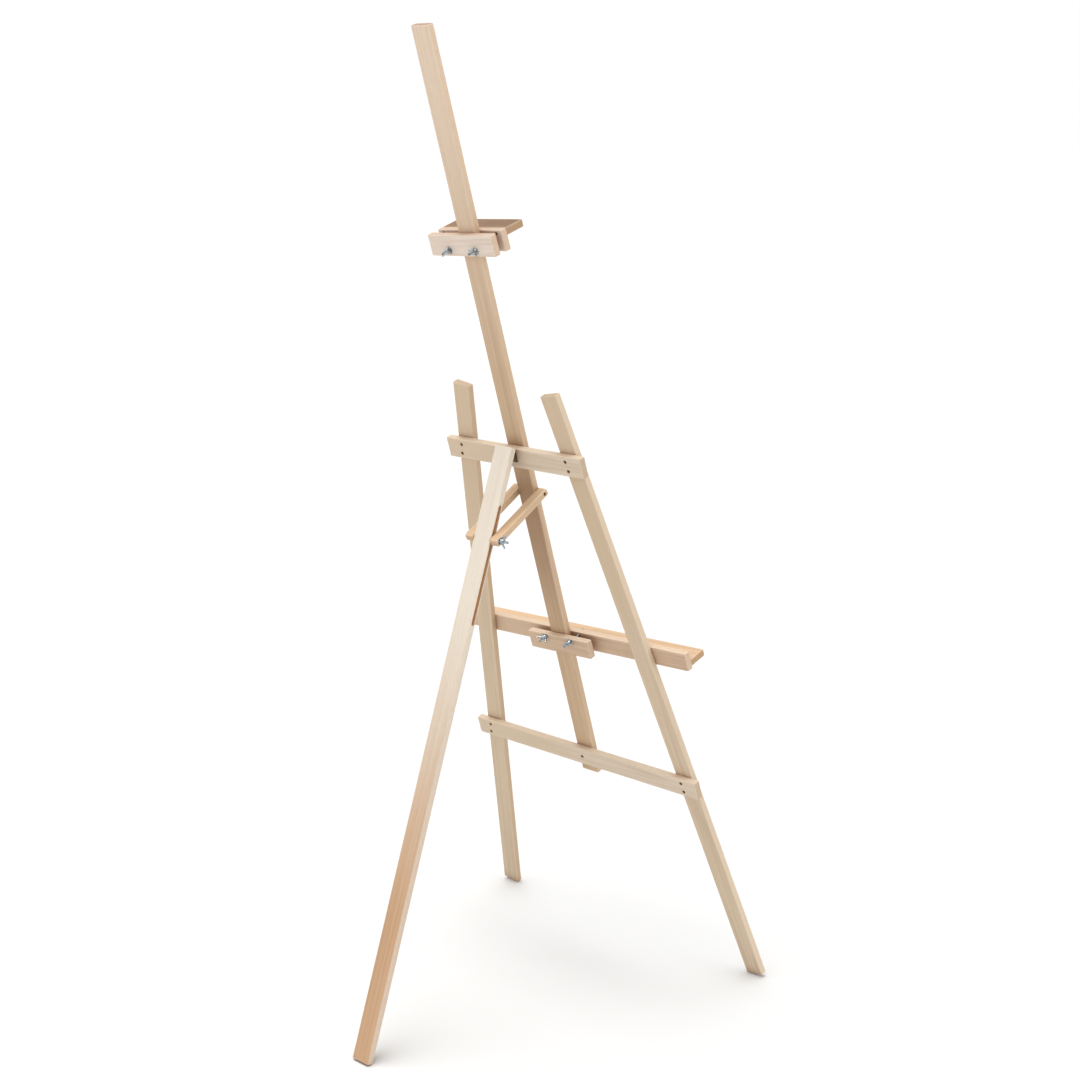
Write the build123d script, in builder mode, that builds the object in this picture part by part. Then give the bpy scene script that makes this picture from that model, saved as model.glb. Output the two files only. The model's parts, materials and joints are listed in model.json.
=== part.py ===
import os
from math import cos, radians, sin, tan

from build123d import *

# Wooden A-frame easel. X runs across it, the canvas faces -Y and +Z is up.
# The origin is the middle of the box round it, on the floor. Sizes in mm, angles in degrees.

# laths
stock = 14.0
edgeEase = 2.0
sideGap = 0.3

# leaning frame
leanAngle = 17.4
legWidth = 40.0
legLength = 1290.0
legFootSpread = 341.0
legSplay = 10.29
mastWidth = 42.0
mastLength = 1536.0
mastBottom = 410.0
upperBarWidth = 41.0
upperBarLength = 343.0
upperBarHeight = 1139.5
lowerBarWidth = 38.5
lowerBarLength = 588.0
lowerBarHeight = 454.8

# rear leg, its hinge and its slot
restOpening = 37.1
pivotBelowBarTop = 3.0
rearLegOverlap = 5.0
slotPlay = 1.3
slotTop = 105.0
slotBottom = 335.0
knuckleRadius = 4.25
hingePinRadius = 2.0
pivotOffset = 5.0
hingeSideInset = 10.0
hingeEndInset = 8.0
hingeLeafThickness = 1.6
hingeKnuckles = 5
knuckleGap = 0.3
pinClearance = 0.08

# struts
strutWidth = 20.0
strutDepth = 14.0
strutPivotHeight = 1058.5
strutUpperEnd = 9.0
strutLowerEnd = 10.0
strutCornerRadius = 3.5
boltDownLeg = 170.0
boltOffCentre = -0.5

# canvas tray
trayLength = 600.0
trayBarWidth = 38.0
trayLedgeDepth = 40.0
trayLedgeRise = 5.0
trayClampLength = 158.0
trayHeight = 727.0
trayShift = -8.0
trayTilt = -2.3

# top canvas holder
holderLength = 160.0
holderWidth = 40.0
holderLedgeDepth = 44.0
holderHeight = 1559.0
holderShift = 7.5
holderTilt = -2.0
holderBoltRise = -9.0
holderScrewSpacing = 132.0

# fasteners
boltRadius = 2.5
boltPlay = 0.1
clampPlay = 9.5
boltHeadRadius = 6.5
boltHeadHeight = 2.6
neckLength = 3.0
washerRadius = 7.5
washerThickness = 1.2
nutWall = 1.7
nutTaper = 1.0
nutHeight = 7.5
nutBoreClearance = 0.08
wingSpan = 26.0
wingHeight = 13.0
wingThickness = 2.4
wingTipDepth = 6.0
wingRound = 2.0
wingSink = 0.6
wingInset = 1.0
boltTail = 9.5
screwHeadRadius = 3.4
screwHeadHeight = 2.2
screwShankRadius = 1.8
screwRecess = 2.0
screwHeadPlay = 0.2
screwBite = 11.0
screwGap = 0.05
barScrewSpacing = 19.0
hingeScrewHeadRadius = 2.9
hingeScrewShankRadius = 1.4
hingeScrewLength = 11.0
leafScrewInset = 5.5

# sizes that follow from others
rearLegWidth = mastWidth
pivotHeight = upperBarHeight + upperBarWidth / 2 - pivotBelowBarTop
hingeWidth = rearLegWidth - 2 * hingeSideInset
hingeLeafLength = upperBarWidth - 2 * hingeEndInset
slotWidth = 2 * (boltRadius + slotPlay)
boltHoleRadius = boltRadius + boltPlay
clampBoltSpacing = mastWidth + 2 * (boltRadius + clampPlay)
trayBoltRise = trayBarWidth / 2 - boltHeadRadius
trayLedgeUp = trayLedgeRise - (trayBarWidth - stock) / 2
holderLedgeUp = (holderWidth - stock) / 2
nutTopRadius = boltRadius + nutWall
nutBaseRadius = nutTopRadius + nutTaper
screwHoleRadius = screwHeadRadius + screwHeadPlay

pieces = {}

# The lean plane is the rear face of legs and mast: x across, y up the slope, z to the front.
lean = radians(leanAngle)
leanPlane = Plane(origin=(0, 0, 0), x_dir=(1, 0, 0), z_dir=(0, -cos(lean), sin(lean)))
legFootRise = legWidth / 2 * sin(radians(legSplay))


def turned(plane, turn):
    """The same plane, turned about its own z."""
    across = plane.x_dir * cos(radians(turn)) + plane.y_dir * sin(radians(turn))
    return Plane(origin=plane.origin, x_dir=across, z_dir=plane.z_dir)


def frontal(across, up, out, turn=0.0):
    """Plane parallel to the lean plane, turned about its own front normal."""
    spot = leanPlane.from_local_coords(Vector(across, up, out))
    return turned(Plane(origin=spot, x_dir=leanPlane.x_dir, z_dir=leanPlane.z_dir), turn)


def rearward(base, across, up, out):
    """Plane at a local spot of base, with its z to the rear and its y up."""
    spot = base.from_local_coords(Vector(across, up, out))
    return Plane(origin=spot, x_dir=-base.x_dir, z_dir=-base.z_dir)


def keep(name, solid):
    solid.label = name
    pieces[name] = solid


def board(plane, width, length, thickness=stock, align=(Align.CENTER, Align.CENTER)):
    """Lath with eased edges, added to the open part: flat on the plane, thick along its z."""
    with BuildSketch(plane) as outline:
        Rectangle(width, length, align=align)
    extrude(outline.sketch, amount=thickness)
    fillet(edges(), radius=edgeEase)


def recessedHole(plane, depth):
    """Screw hole with a flat recess, drilled from the plane against its z."""
    with BuildSketch(plane) as outline:
        Circle(screwHoleRadius)
    extrude(outline.sketch, amount=-screwRecess - screwHeadHeight, mode=Mode.SUBTRACT)
    with BuildSketch(plane) as outline:
        Circle(screwShankRadius + screwGap)
    extrude(outline.sketch, amount=-depth, mode=Mode.SUBTRACT)


def woodScrew(plane, grip, bite, recess=screwRecess):
    """Screw whose head lies recess deep in the plane, with its point down the plane's z."""
    shankLength = grip + bite - recess - screwHeadHeight
    with BuildSketch(plane.offset(-recess)) as outline:
        Circle(screwHeadRadius)
    extrude(outline.sketch, amount=-screwHeadHeight)
    with BuildSketch(plane.offset(-recess - screwHeadHeight)) as outline:
        Circle(screwShankRadius)
    extrude(outline.sketch, amount=-shankLength + screwShankRadius)
    with BuildSketch(plane.offset(-recess - screwHeadHeight - shankLength + screwShankRadius)) as outline:
        Circle(screwShankRadius)
    extrude(outline.sketch, amount=-screwShankRadius, taper=40)


def pilotHole(plane, depth):
    with BuildSketch(plane) as outline:
        Circle(screwShankRadius + screwGap)
    extrude(outline.sketch, amount=-depth, mode=Mode.SUBTRACT)


def boltHole(plane, depth, radius=boltHoleRadius):
    with BuildSketch(plane) as outline:
        Circle(radius)
    extrude(outline.sketch, amount=-depth, mode=Mode.SUBTRACT)


def squareHole(plane):
    """Seat that the square neck of a carriage bolt bites into."""
    with BuildSketch(plane) as outline:
        Rectangle(2 * boltHoleRadius, 2 * boltHoleRadius)
    extrude(outline.sketch, amount=-neckLength - screwGap, mode=Mode.SUBTRACT)


def carriageBolt(plane, grip):
    """Bolt with its head on the plane's z side and its shank down the plane's z."""
    length = grip + washerThickness + nutHeight + boltTail
    with BuildSketch(plane) as outline:
        Circle(boltHeadRadius)
    extrude(outline.sketch, amount=boltHeadHeight, taper=32)
    with BuildSketch(plane) as outline:
        Rectangle(2 * boltRadius, 2 * boltRadius)
    extrude(outline.sketch, amount=-neckLength)
    with BuildSketch(plane) as outline:
        Circle(boltRadius)
    extrude(outline.sketch, amount=-length)


def washer(plane):
    """Flat washer standing on the plane."""
    with BuildSketch(plane) as outline:
        Circle(washerRadius)
        Circle(boltHoleRadius, mode=Mode.SUBTRACT)
    extrude(outline.sketch, amount=washerThickness)


def wingNut(plane):
    """Wing nut standing on the plane, with its wings along the plane's x."""
    with BuildSketch(plane) as base:
        Circle(nutBaseRadius)
    with BuildSketch(plane.offset(nutHeight)) as top:
        Circle(nutTopRadius)
    loft([base.sketch, top.sketch])
    upright = Plane(origin=plane.origin, x_dir=plane.x_dir, z_dir=-plane.y_dir)
    with BuildSketch(upright) as outline:
        with BuildLine():
            Polyline(
                (0, wingInset),
                (nutBaseRadius - wingSink, wingInset),
                (wingSpan / 2 - wingRound, wingHeight - wingTipDepth),
                (wingSpan / 2, wingHeight - wingRound),
                (wingSpan / 2 - wingRound, wingHeight),
                (wingSpan / 2 - wingTipDepth, wingHeight - wingInset),
                (nutTopRadius - wingSink, nutHeight - wingInset),
                (0, nutHeight - wingInset),
                close=True,
            )
        make_face()
        mirror(about=Plane.YZ)
    extrude(outline.sketch, amount=wingThickness / 2, both=True)
    with BuildSketch(plane) as outline:
        Circle(boltRadius + nutBoreClearance)
    extrude(outline.sketch, amount=wingHeight, mode=Mode.SUBTRACT)


# ---- leaning frame: two legs, mast and two crossbars ----

barScrewSides = (-barScrewSpacing / 2, barScrewSpacing / 2)


def legSpread(up):
    """Distance of a leg's centre line from the middle, at a height up the slope."""
    return legFootSpread - (up - legFootRise) * tan(radians(legSplay))


def barScrewSpots(barHeight):
    spots = []
    for side in (-1, 1):
        for shift in barScrewSides:
            up = barHeight + shift
            spots.append((side * legSpread(up), up))
    return spots


upperScrewSpots = barScrewSpots(upperBarHeight)
lowerScrewSpots = barScrewSpots(lowerBarHeight)
mastScrewSpot = (0, lowerBarHeight)

for side, name in ((-1, "front_leg_left"), (1, "front_leg_right")):
    legPlane = frontal(side * legFootSpread, legFootRise, 0, side * legSplay)
    with BuildPart() as frontLeg:
        board(legPlane, legWidth, legLength, align=(Align.CENTER, Align.MIN))
        for across, up in upperScrewSpots + lowerScrewSpots:
            if across * side > 0:
                pilotHole(rearward(leanPlane, across, up, 0), screwBite + screwGap)
    keep(name, frontLeg.part)

strutPivotSpot = leanPlane.from_local_coords(Vector(0, strutPivotHeight, stock / 2))
strutOuterFace = mastWidth / 2 + sideGap + strutWidth
strutScrewGrip = strutWidth + sideGap


def sidePlane(side, distance, spot):
    """Plane square to X at a distance to one side, its z pointing away from the middle."""
    return Plane(origin=(side * distance, spot.Y, spot.Z), x_dir=(0, side, 0), z_dir=(side, 0, 0))


with BuildPart() as mast:
    mastPlane = frontal(0, mastBottom, 0)
    board(mastPlane, mastWidth, mastLength, align=(Align.CENTER, Align.MIN))
    pilotHole(rearward(leanPlane, mastScrewSpot[0], mastScrewSpot[1], 0), screwBite + screwGap)
    for side in (-1, 1):
        pilotHole(sidePlane(side, mastWidth / 2, strutPivotSpot), screwBite + sideGap + screwGap)
keep("mast", mast.part)


def crossbar(height, width, length, spots):
    board(frontal(0, height, -stock), length, width)
    for across, up in spots:
        recessedHole(rearward(leanPlane, across, up, -stock), stock)


hingePivot = leanPlane.from_local_coords(Vector(0, pivotHeight, -stock - pivotOffset))
frameLeafPlane = rearward(leanPlane, 0, pivotHeight, -stock)
leafScrewSpots = (
    (-hingeWidth / 2 + leafScrewInset, -hingeLeafLength / 2),
    (hingeWidth / 2 - leafScrewInset, -hingeLeafLength / 2),
    (0.0, -hingeLeafLength + leafScrewInset),
)


def leafScrewHole(plane, across, down):
    spot = plane.from_local_coords(Vector(across, down, 0))
    with BuildSketch(Plane(origin=spot, x_dir=plane.x_dir, z_dir=plane.z_dir)) as outline:
        Circle(hingeScrewShankRadius + screwGap)
    extrude(outline.sketch, amount=-hingeScrewLength, mode=Mode.SUBTRACT)


with BuildPart() as upperCrossbar:
    crossbar(upperBarHeight, upperBarWidth, upperBarLength, upperScrewSpots)
    for across, down in leafScrewSpots:
        leafScrewHole(frameLeafPlane, across, down)
keep("upper_crossbar", upperCrossbar.part)

with BuildPart() as lowerCrossbar:
    crossbar(lowerBarHeight, lowerBarWidth, lowerBarLength, lowerScrewSpots + [mastScrewSpot])
keep("lower_crossbar", lowerCrossbar.part)

with BuildPart() as upperScrews:
    for across, up in upperScrewSpots:
        woodScrew(rearward(leanPlane, across, up, -stock), stock, screwBite)
keep("upper_crossbar_screws", upperScrews.part)

with BuildPart() as lowerScrews:
    for across, up in lowerScrewSpots + [mastScrewSpot]:
        woodScrew(rearward(leanPlane, across, up, -stock), stock, screwBite)
keep("lower_crossbar_screws", lowerScrews.part)

# ---- rear leg on its butt hinge ----

# The rear plane is the leg's front face: x across, y up the leg, z to the front.
rearAngle = radians(restOpening - leanAngle)
rearFront = Vector(0, -cos(rearAngle), -sin(rearAngle))
rearPlane = Plane(origin=hingePivot - rearFront * pivotOffset, x_dir=(1, 0, 0), z_dir=rearFront)
rearLegBelow = rearPlane.origin.Z / cos(rearAngle)
rearLegLength = rearLegBelow + rearLegOverlap
slotLength = slotBottom - slotTop
slotPlane = Plane(
    origin=rearPlane.from_local_coords(Vector(0, -(slotTop + slotBottom) / 2, -stock / 2)),
    x_dir=rearPlane.y_dir,
    z_dir=(1, 0, 0),
)

with BuildPart() as rearLeg:
    legTop = rearPlane.from_local_coords(Vector(0, rearLegOverlap, 0))
    rearLegPlane = Plane(origin=legTop, x_dir=rearPlane.x_dir, z_dir=rearPlane.z_dir)
    with BuildSketch(rearLegPlane):
        Rectangle(rearLegWidth, rearLegLength, align=(Align.CENTER, Align.MAX))
    extrude(amount=-stock)
    fillet(edges(), radius=edgeEase)
    with BuildSketch(slotPlane):
        SlotOverall(slotLength, slotWidth)
    extrude(amount=rearLegWidth, both=True, mode=Mode.SUBTRACT)
    for across, down in leafScrewSpots:
        leafScrewHole(rearPlane, across, down)
keep("rear_leg", rearLeg.part)

knuckleLength = hingeWidth / hingeKnuckles


def hingeLeaf(plane, knuckles, bore):
    """Leaf flat on the plane and hanging down it, with the knuckles that it carries."""
    with BuildSketch(plane) as outline:
        Rectangle(hingeWidth, hingeLeafLength, align=(Align.CENTER, Align.MAX))
    extrude(outline.sketch, amount=hingeLeafThickness)
    others = [k for k in range(hingeKnuckles) if k not in knuckles]
    axisPlane = Plane(origin=hingePivot, x_dir=(0, 1, 0), z_dir=(1, 0, 0))
    for k in knuckles:
        start = -hingeWidth / 2 + k * knuckleLength + knuckleGap / 2
        with BuildSketch(axisPlane.offset(start)) as outline:
            Circle(knuckleRadius)
        extrude(outline.sketch, amount=knuckleLength - knuckleGap)
    for k in others:
        start = -hingeWidth / 2 + k * knuckleLength - knuckleGap / 2
        with BuildSketch(axisPlane.offset(start)) as outline:
            Circle(knuckleRadius + knuckleGap)
        extrude(outline.sketch, amount=knuckleLength + knuckleGap, mode=Mode.SUBTRACT)
    with BuildSketch(axisPlane) as outline:
        Circle(bore)
    extrude(outline.sketch, amount=hingeWidth, both=True, mode=Mode.SUBTRACT)
    for across, down in leafScrewSpots:
        spot = plane.from_local_coords(Vector(across, down, hingeLeafThickness))
        with BuildSketch(Plane(origin=spot, x_dir=plane.x_dir, z_dir=plane.z_dir)) as outline:
            Circle(hingeScrewHeadRadius + screwGap)
        extrude(outline.sketch, amount=-hingeLeafThickness, mode=Mode.SUBTRACT)


def leafScrews(plane):
    for across, down in leafScrewSpots:
        spot = plane.from_local_coords(Vector(across, down, 0))
        seat = Plane(origin=spot, x_dir=plane.x_dir, z_dir=plane.z_dir)
        with BuildSketch(seat) as outline:
            Circle(hingeScrewHeadRadius)
        extrude(outline.sketch, amount=hingeLeafThickness)
        with BuildSketch(seat) as outline:
            Circle(hingeScrewShankRadius)
        extrude(outline.sketch, amount=-hingeScrewLength + screwGap)


frameKnuckles = range(0, hingeKnuckles, 2)
legKnuckles = range(1, hingeKnuckles, 2)

with BuildPart() as frameLeaf:
    hingeLeaf(frameLeafPlane, frameKnuckles, hingePinRadius)
keep("hinge_frame_leaf", frameLeaf.part)

with BuildPart() as legLeaf:
    hingeLeaf(rearPlane, legKnuckles, hingePinRadius + pinClearance)
keep("hinge_leg_leaf", legLeaf.part)

with BuildPart() as hingePin:
    with BuildSketch(Plane(origin=hingePivot, x_dir=(0, 1, 0), z_dir=(1, 0, 0))):
        Circle(hingePinRadius)
    extrude(amount=hingeWidth / 2, both=True)
keep("hinge_pin", hingePin.part)

with BuildPart() as frameLeafScrews:
    leafScrews(frameLeafPlane)
keep("hinge_frame_screws", frameLeafScrews.part)

with BuildPart() as legLeafScrews:
    leafScrews(rearPlane)
keep("hinge_leg_screws", legLeafScrews.part)

# ---- two struts from the mast's sides to the bolt in the slot ----

boltSpot = rearPlane.from_local_coords(Vector(0, -boltDownLeg, -stock / 2 - boltOffCentre))
strutReach = boltSpot - strutPivotSpot
strutPlane = Plane(origin=strutPivotSpot, x_dir=strutReach, z_dir=(1, 0, 0))

for side, name in ((-1, "strut_left"), (1, "strut_right")):
    innerFace = side * (mastWidth / 2 + sideGap)
    with BuildPart() as strut:
        with BuildSketch(strutPlane.offset(innerFace)):
            with Locations((-strutUpperEnd, 0)):
                RectangleRounded(
                    strutUpperEnd + strutReach.length + strutLowerEnd,
                    strutDepth,
                    strutCornerRadius,
                    align=(Align.MIN, Align.CENTER),
                )
        extrude(amount=side * strutWidth)
        rims = edges().group_by(Axis.X)
        fillet(rims[0] + rims[-1], radius=edgeEase)
        recessedHole(sidePlane(side, strutOuterFace, strutPivotSpot), strutWidth)
        boltHole(sidePlane(side, strutOuterFace, boltSpot), strutWidth)
        if side > 0:
            squareHole(sidePlane(side, strutOuterFace, boltSpot))
    keep(name, strut.part)

with BuildPart() as strutScrews:
    for side in (-1, 1):
        woodScrew(sidePlane(side, strutOuterFace, strutPivotSpot), strutScrewGrip, screwBite)
keep("strut_pivot_screws", strutScrews.part)

with BuildPart() as strutBolt:
    carriageBolt(sidePlane(1, strutOuterFace, boltSpot), 2 * strutOuterFace)
keep("strut_bolt", strutBolt.part)

strutNutSide = sidePlane(-1, strutOuterFace, boltSpot)
with BuildPart() as strutWasher:
    washer(strutNutSide)
keep("strut_washer", strutWasher.part)

strutNutTurn = 81.0
with BuildPart() as strutNut:
    wingNut(turned(strutNutSide.offset(washerThickness), strutNutTurn))
keep("strut_wing_nut", strutNut.part)

# ---- clamped holders: the tray below and the holder at the top ----


def clampFaces(height, shift, tilt, rise):
    """Tilted planes of a clamp at its bolts' line: the front block's face and the rear block's."""
    middle = frontal(shift, height, 2 * stock, tilt)
    spots = []
    for side in (-1, 1):
        front = middle.from_local_coords(Vector(side * clampBoltSpacing / 2, rise, 0))
        rear = middle.from_local_coords(Vector(side * clampBoltSpacing / 2, rise, -3 * stock))
        frontFace = Plane(origin=front, x_dir=middle.x_dir, z_dir=middle.z_dir)
        rearFace = Plane(origin=rear, x_dir=-middle.x_dir, z_dir=-middle.z_dir)
        spots.append((frontFace, rearFace))
    return spots


def buildClamp(prefix, blockName, spot, widths, lengths, ledge, nutTurns):
    """One holder: front block, ledge, rear clamp block, two bolts, washers and wing nuts."""
    height, shift, tilt, rise = spot
    blockLength, clampLength = lengths
    ledgeDepth, ledgeUp, screwSpots = ledge
    faces = clampFaces(height, shift, tilt, rise)
    middle = frontal(shift, height, stock, tilt)
    with BuildPart() as block:
        board(middle, blockLength, widths)
        for frontFace, rearFace in faces:
            boltHole(frontFace, 2 * stock)
            squareHole(frontFace)
        for across in screwSpots:
            recessedHole(rearward(middle, across, ledgeUp, 0), stock)
    keep(blockName, block.part)
    with BuildPart() as shelf:
        spotPlane = middle.from_local_coords(Vector(0, ledgeUp, stock))
        shelfPlane = Plane(origin=spotPlane, x_dir=middle.x_dir, z_dir=middle.z_dir)
        board(shelfPlane, blockLength, stock, ledgeDepth)
        for across in screwSpots:
            pilotHole(rearward(middle, across, ledgeUp, stock), screwBite + screwGap)
    keep(prefix + "_ledge", shelf.part)
    with BuildPart() as clampBlock:
        board(middle.offset(-2 * stock), clampLength, widths)
        for frontFace, rearFace in faces:
            boltHole(rearFace, 2 * stock)
    keep(prefix + "_clamp_block", clampBlock.part)
    with BuildPart() as bolts:
        for frontFace, rearFace in faces:
            carriageBolt(frontFace, 3 * stock)
    keep(prefix + "_bolts", bolts.part)
    with BuildPart() as washers:
        for frontFace, rearFace in faces:
            washer(rearFace)
    keep(prefix + "_washers", washers.part)
    for (frontFace, rearFace), sideName, turn in zip(faces, ("left", "right"), nutTurns):
        with BuildPart() as nut:
            wingNut(turned(rearFace.offset(washerThickness), turn))
        keep(prefix + "_wing_nut_" + sideName, nut.part)
    if screwSpots:
        with BuildPart() as ledgeScrews:
            for across in screwSpots:
                woodScrew(rearward(middle, across, ledgeUp, 0), stock, screwBite)
        keep(prefix + "_screws", ledgeScrews.part)
    return faces


trayFaces = buildClamp(
    "tray",
    "tray_bar",
    (trayHeight, trayShift, trayTilt, trayBoltRise),
    trayBarWidth,
    (trayLength, trayClampLength),
    (trayLedgeDepth, trayLedgeUp, ()),
    (15.0, -20.0),
)
holderFaces = buildClamp(
    "top_holder",
    "top_holder_block",
    (holderHeight, holderShift, holderTilt, holderBoltRise),
    holderWidth,
    (holderLength, holderLength),
    (holderLedgeDepth, holderLedgeUp, (-holderScrewSpacing / 2, holderScrewSpacing / 2)),
    (-25.0, 40.0),
)

# ---- stand the whole easel on the origin and write it ----

boxes = [solid.bounding_box() for solid in pieces.values()]
lowX = min(box.min.X for box in boxes)
highX = max(box.max.X for box in boxes)
lowY = min(box.min.Y for box in boxes)
highY = max(box.max.Y for box in boxes)
floorZ = min(box.min.Z for box in boxes)
topZ = max(box.max.Z for box in boxes)
toOrigin = Location((-(lowX + highX) / 2, -(lowY + highY) / 2, -floorZ))

os.makedirs("parts", exist_ok=True)
for name, solid in pieces.items():
    placed = solid.moved(toOrigin)
    placed.label = name
    export_step(placed, "parts/" + name + ".step")

print("nodes", len(pieces))
print("box", [round(v, 2) for v in (highX - lowX, highY - lowY, topZ - floorZ)])


def report(name, spot):
    placed = spot + toOrigin.position
    print(name, [round(v, 4) for v in placed])


report("hinge pivot", hingePivot)
report("strut pivot", strutPivotSpot)
report("strut bolt", boltSpot)
for name, faces in (("tray", trayFaces), ("top holder", holderFaces)):
    for frontFace, rearFace in faces:
        report(name + " nut", rearFace.origin)
trayMiddle = frontal(trayShift, trayHeight, 2 * stock, trayTilt)
traySeat = Vector(0, trayLedgeUp + stock / 2, trayLedgeDepth / 2)
report("tray seat", trayMiddle.from_local_coords(traySeat))
holderMiddle = frontal(holderShift, holderHeight, 2 * stock, holderTilt)
holderSeat = Vector(0, holderLedgeUp - stock / 2, holderLedgeDepth / 2)
report("top holder seat", holderMiddle.from_local_coords(holderSeat))
print("tray seat normal", [round(v, 8) for v in trayMiddle.y_dir])
print("top holder seat normal", [round(v, 8) for v in -holderMiddle.y_dir])
print("up the slope", [round(v, 8) for v in leanPlane.y_dir])
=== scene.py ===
import json
import math

import bpy
from mathutils import Matrix, Vector


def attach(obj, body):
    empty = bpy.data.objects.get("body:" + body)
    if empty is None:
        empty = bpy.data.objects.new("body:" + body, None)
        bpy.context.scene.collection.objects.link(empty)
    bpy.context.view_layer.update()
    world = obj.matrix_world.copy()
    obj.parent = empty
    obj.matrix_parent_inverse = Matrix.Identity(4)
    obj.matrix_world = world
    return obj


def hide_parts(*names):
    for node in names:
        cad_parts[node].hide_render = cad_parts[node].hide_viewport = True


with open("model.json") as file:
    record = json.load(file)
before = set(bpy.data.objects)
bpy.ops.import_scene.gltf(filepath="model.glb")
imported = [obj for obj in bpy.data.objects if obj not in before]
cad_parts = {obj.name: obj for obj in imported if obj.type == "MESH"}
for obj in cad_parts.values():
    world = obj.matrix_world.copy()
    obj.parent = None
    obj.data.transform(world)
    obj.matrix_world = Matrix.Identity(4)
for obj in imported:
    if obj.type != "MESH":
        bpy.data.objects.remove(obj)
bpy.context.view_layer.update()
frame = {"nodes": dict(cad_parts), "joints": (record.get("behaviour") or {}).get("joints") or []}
nodes = frame["nodes"]
joints = {joint["name"]: joint for joint in frame["joints"]}
print("frame loaded,", len(nodes), "nodes")

# angles in degrees and lengths in metres that the joints don't give

easel = {
    "legSplay": 10.29,
    "rearLegLean": 19.7,
    "trayTilt": -2.3,
    "holderTilt": -2.0,
    "stock": 0.014,
    "strutOuterFace": 0.0413,
}

# directions of the leaning frame, the rear leg, the struts and the two holders

sideways = Vector((1, 0, 0))
upSlope = Vector(joints["tray_slide"]["axis"]).normalized()
outFront = sideways.cross(upSlope)
outRear = -outFront


def tiltedBy(direction, degrees):  # a direction turned within the plane of the frame
    return Matrix.Rotation(math.radians(degrees), 3, outFront) @ direction


rearLegLean = math.radians(easel["rearLegLean"])
rearLegUp = Vector((0, -math.sin(rearLegLean), math.cos(rearLegLean)))
strutPivot = Vector(joints["strut_fold"]["pos_m"])
strutBolt = Vector(joints["strut_nut_turn"]["pos_m"])
strutRun = (strutBolt - strutPivot).normalized()
splay = easel["legSplay"]
trayRun = tiltedBy(sideways, easel["trayTilt"])
trayUp = tiltedBy(upSlope, easel["trayTilt"])
holderRun = tiltedBy(sideways, easel["holderTilt"])
holderUp = tiltedBy(upSlope, easel["holderTilt"])

# every lath: the way its grain runs, the way its width lies, and its tones
laths = {
    "front_leg_left": (tiltedBy(upSlope, -splay), tiltedBy(sideways, -splay), "leg"),
    "front_leg_right": (tiltedBy(upSlope, splay), tiltedBy(sideways, splay), "shadedLeg"),
    "mast": (upSlope, sideways, "mast"),
    "upper_crossbar": (sideways, upSlope, "crossbar"),
    "lower_crossbar": (sideways, upSlope, "crossbar"),
    "rear_leg": (rearLegUp, sideways, "rearLeg"),
    "strut_left": (strutRun, sideways, "strut"),
    "strut_right": (strutRun, sideways, "strut"),
    "tray_bar": (trayRun, trayUp, "tray"),
    "tray_ledge": (trayRun, outFront, "trayLedge"),
    "tray_clamp_block": (trayRun, trayUp, "tray"),
    "top_holder_block": (holderRun, holderUp, "holder"),
    "top_holder_ledge": (holderRun, outFront, "shadedHolderLedge"),
    "top_holder_clamp_block": (holderRun, holderUp, "holder"),
}


def extent(spots):  # the lowest and the highest corner of the box round some spots
    low = Vector([min(spot[i] for spot in spots) for i in range(3)])
    high = Vector([max(spot[i] for spot in spots) for i in range(3)])
    return low, high


def measured(node):  # a lath's own frame: its middle, its turn and its half sizes
    along, wide, look = laths[node]
    turn = Matrix((wide, along, wide.cross(along))).transposed()
    back = turn.transposed()
    low, high = extent([back @ vertex.co for vertex in nodes[node].data.vertices])
    return {
        "middle": turn @ ((low + high) / 2),
        "turn": turn.to_euler(),
        "half": (high - low) / 2,
        "along": along,
        "wide": wide,
        "look": look,
    }


# shader work: a value in a node tree that takes ordinary arithmetic, and the tree or material that holds it


class Wire:
    def __init__(self, sheet, socket):
        self.sheet = sheet
        self.socket = socket

    def worked(self, operation, *values):
        return self.sheet.node("ShaderNodeMath", {"operation": operation}, dict(enumerate(values)))

    def __add__(self, other):
        return self.worked("ADD", self, other)

    def __radd__(self, other):
        return self.worked("ADD", other, self)

    def __sub__(self, other):
        return self.worked("SUBTRACT", self, other)

    def __rsub__(self, other):
        return self.worked("SUBTRACT", other, self)

    def __mul__(self, other):
        return self.worked("MULTIPLY", self, other)

    def __rmul__(self, other):
        return self.worked("MULTIPLY", other, self)

    def __truediv__(self, other):
        return self.worked("DIVIDE", self, other)

    def __abs__(self):
        return self.worked("ABSOLUTE", self)

    def fraction(self):
        return self.worked("FRACT", self)

    def least(self, other):
        return self.worked("MINIMUM", self, other)

    def most(self, other):
        return self.worked("MAXIMUM", self, other)


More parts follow.
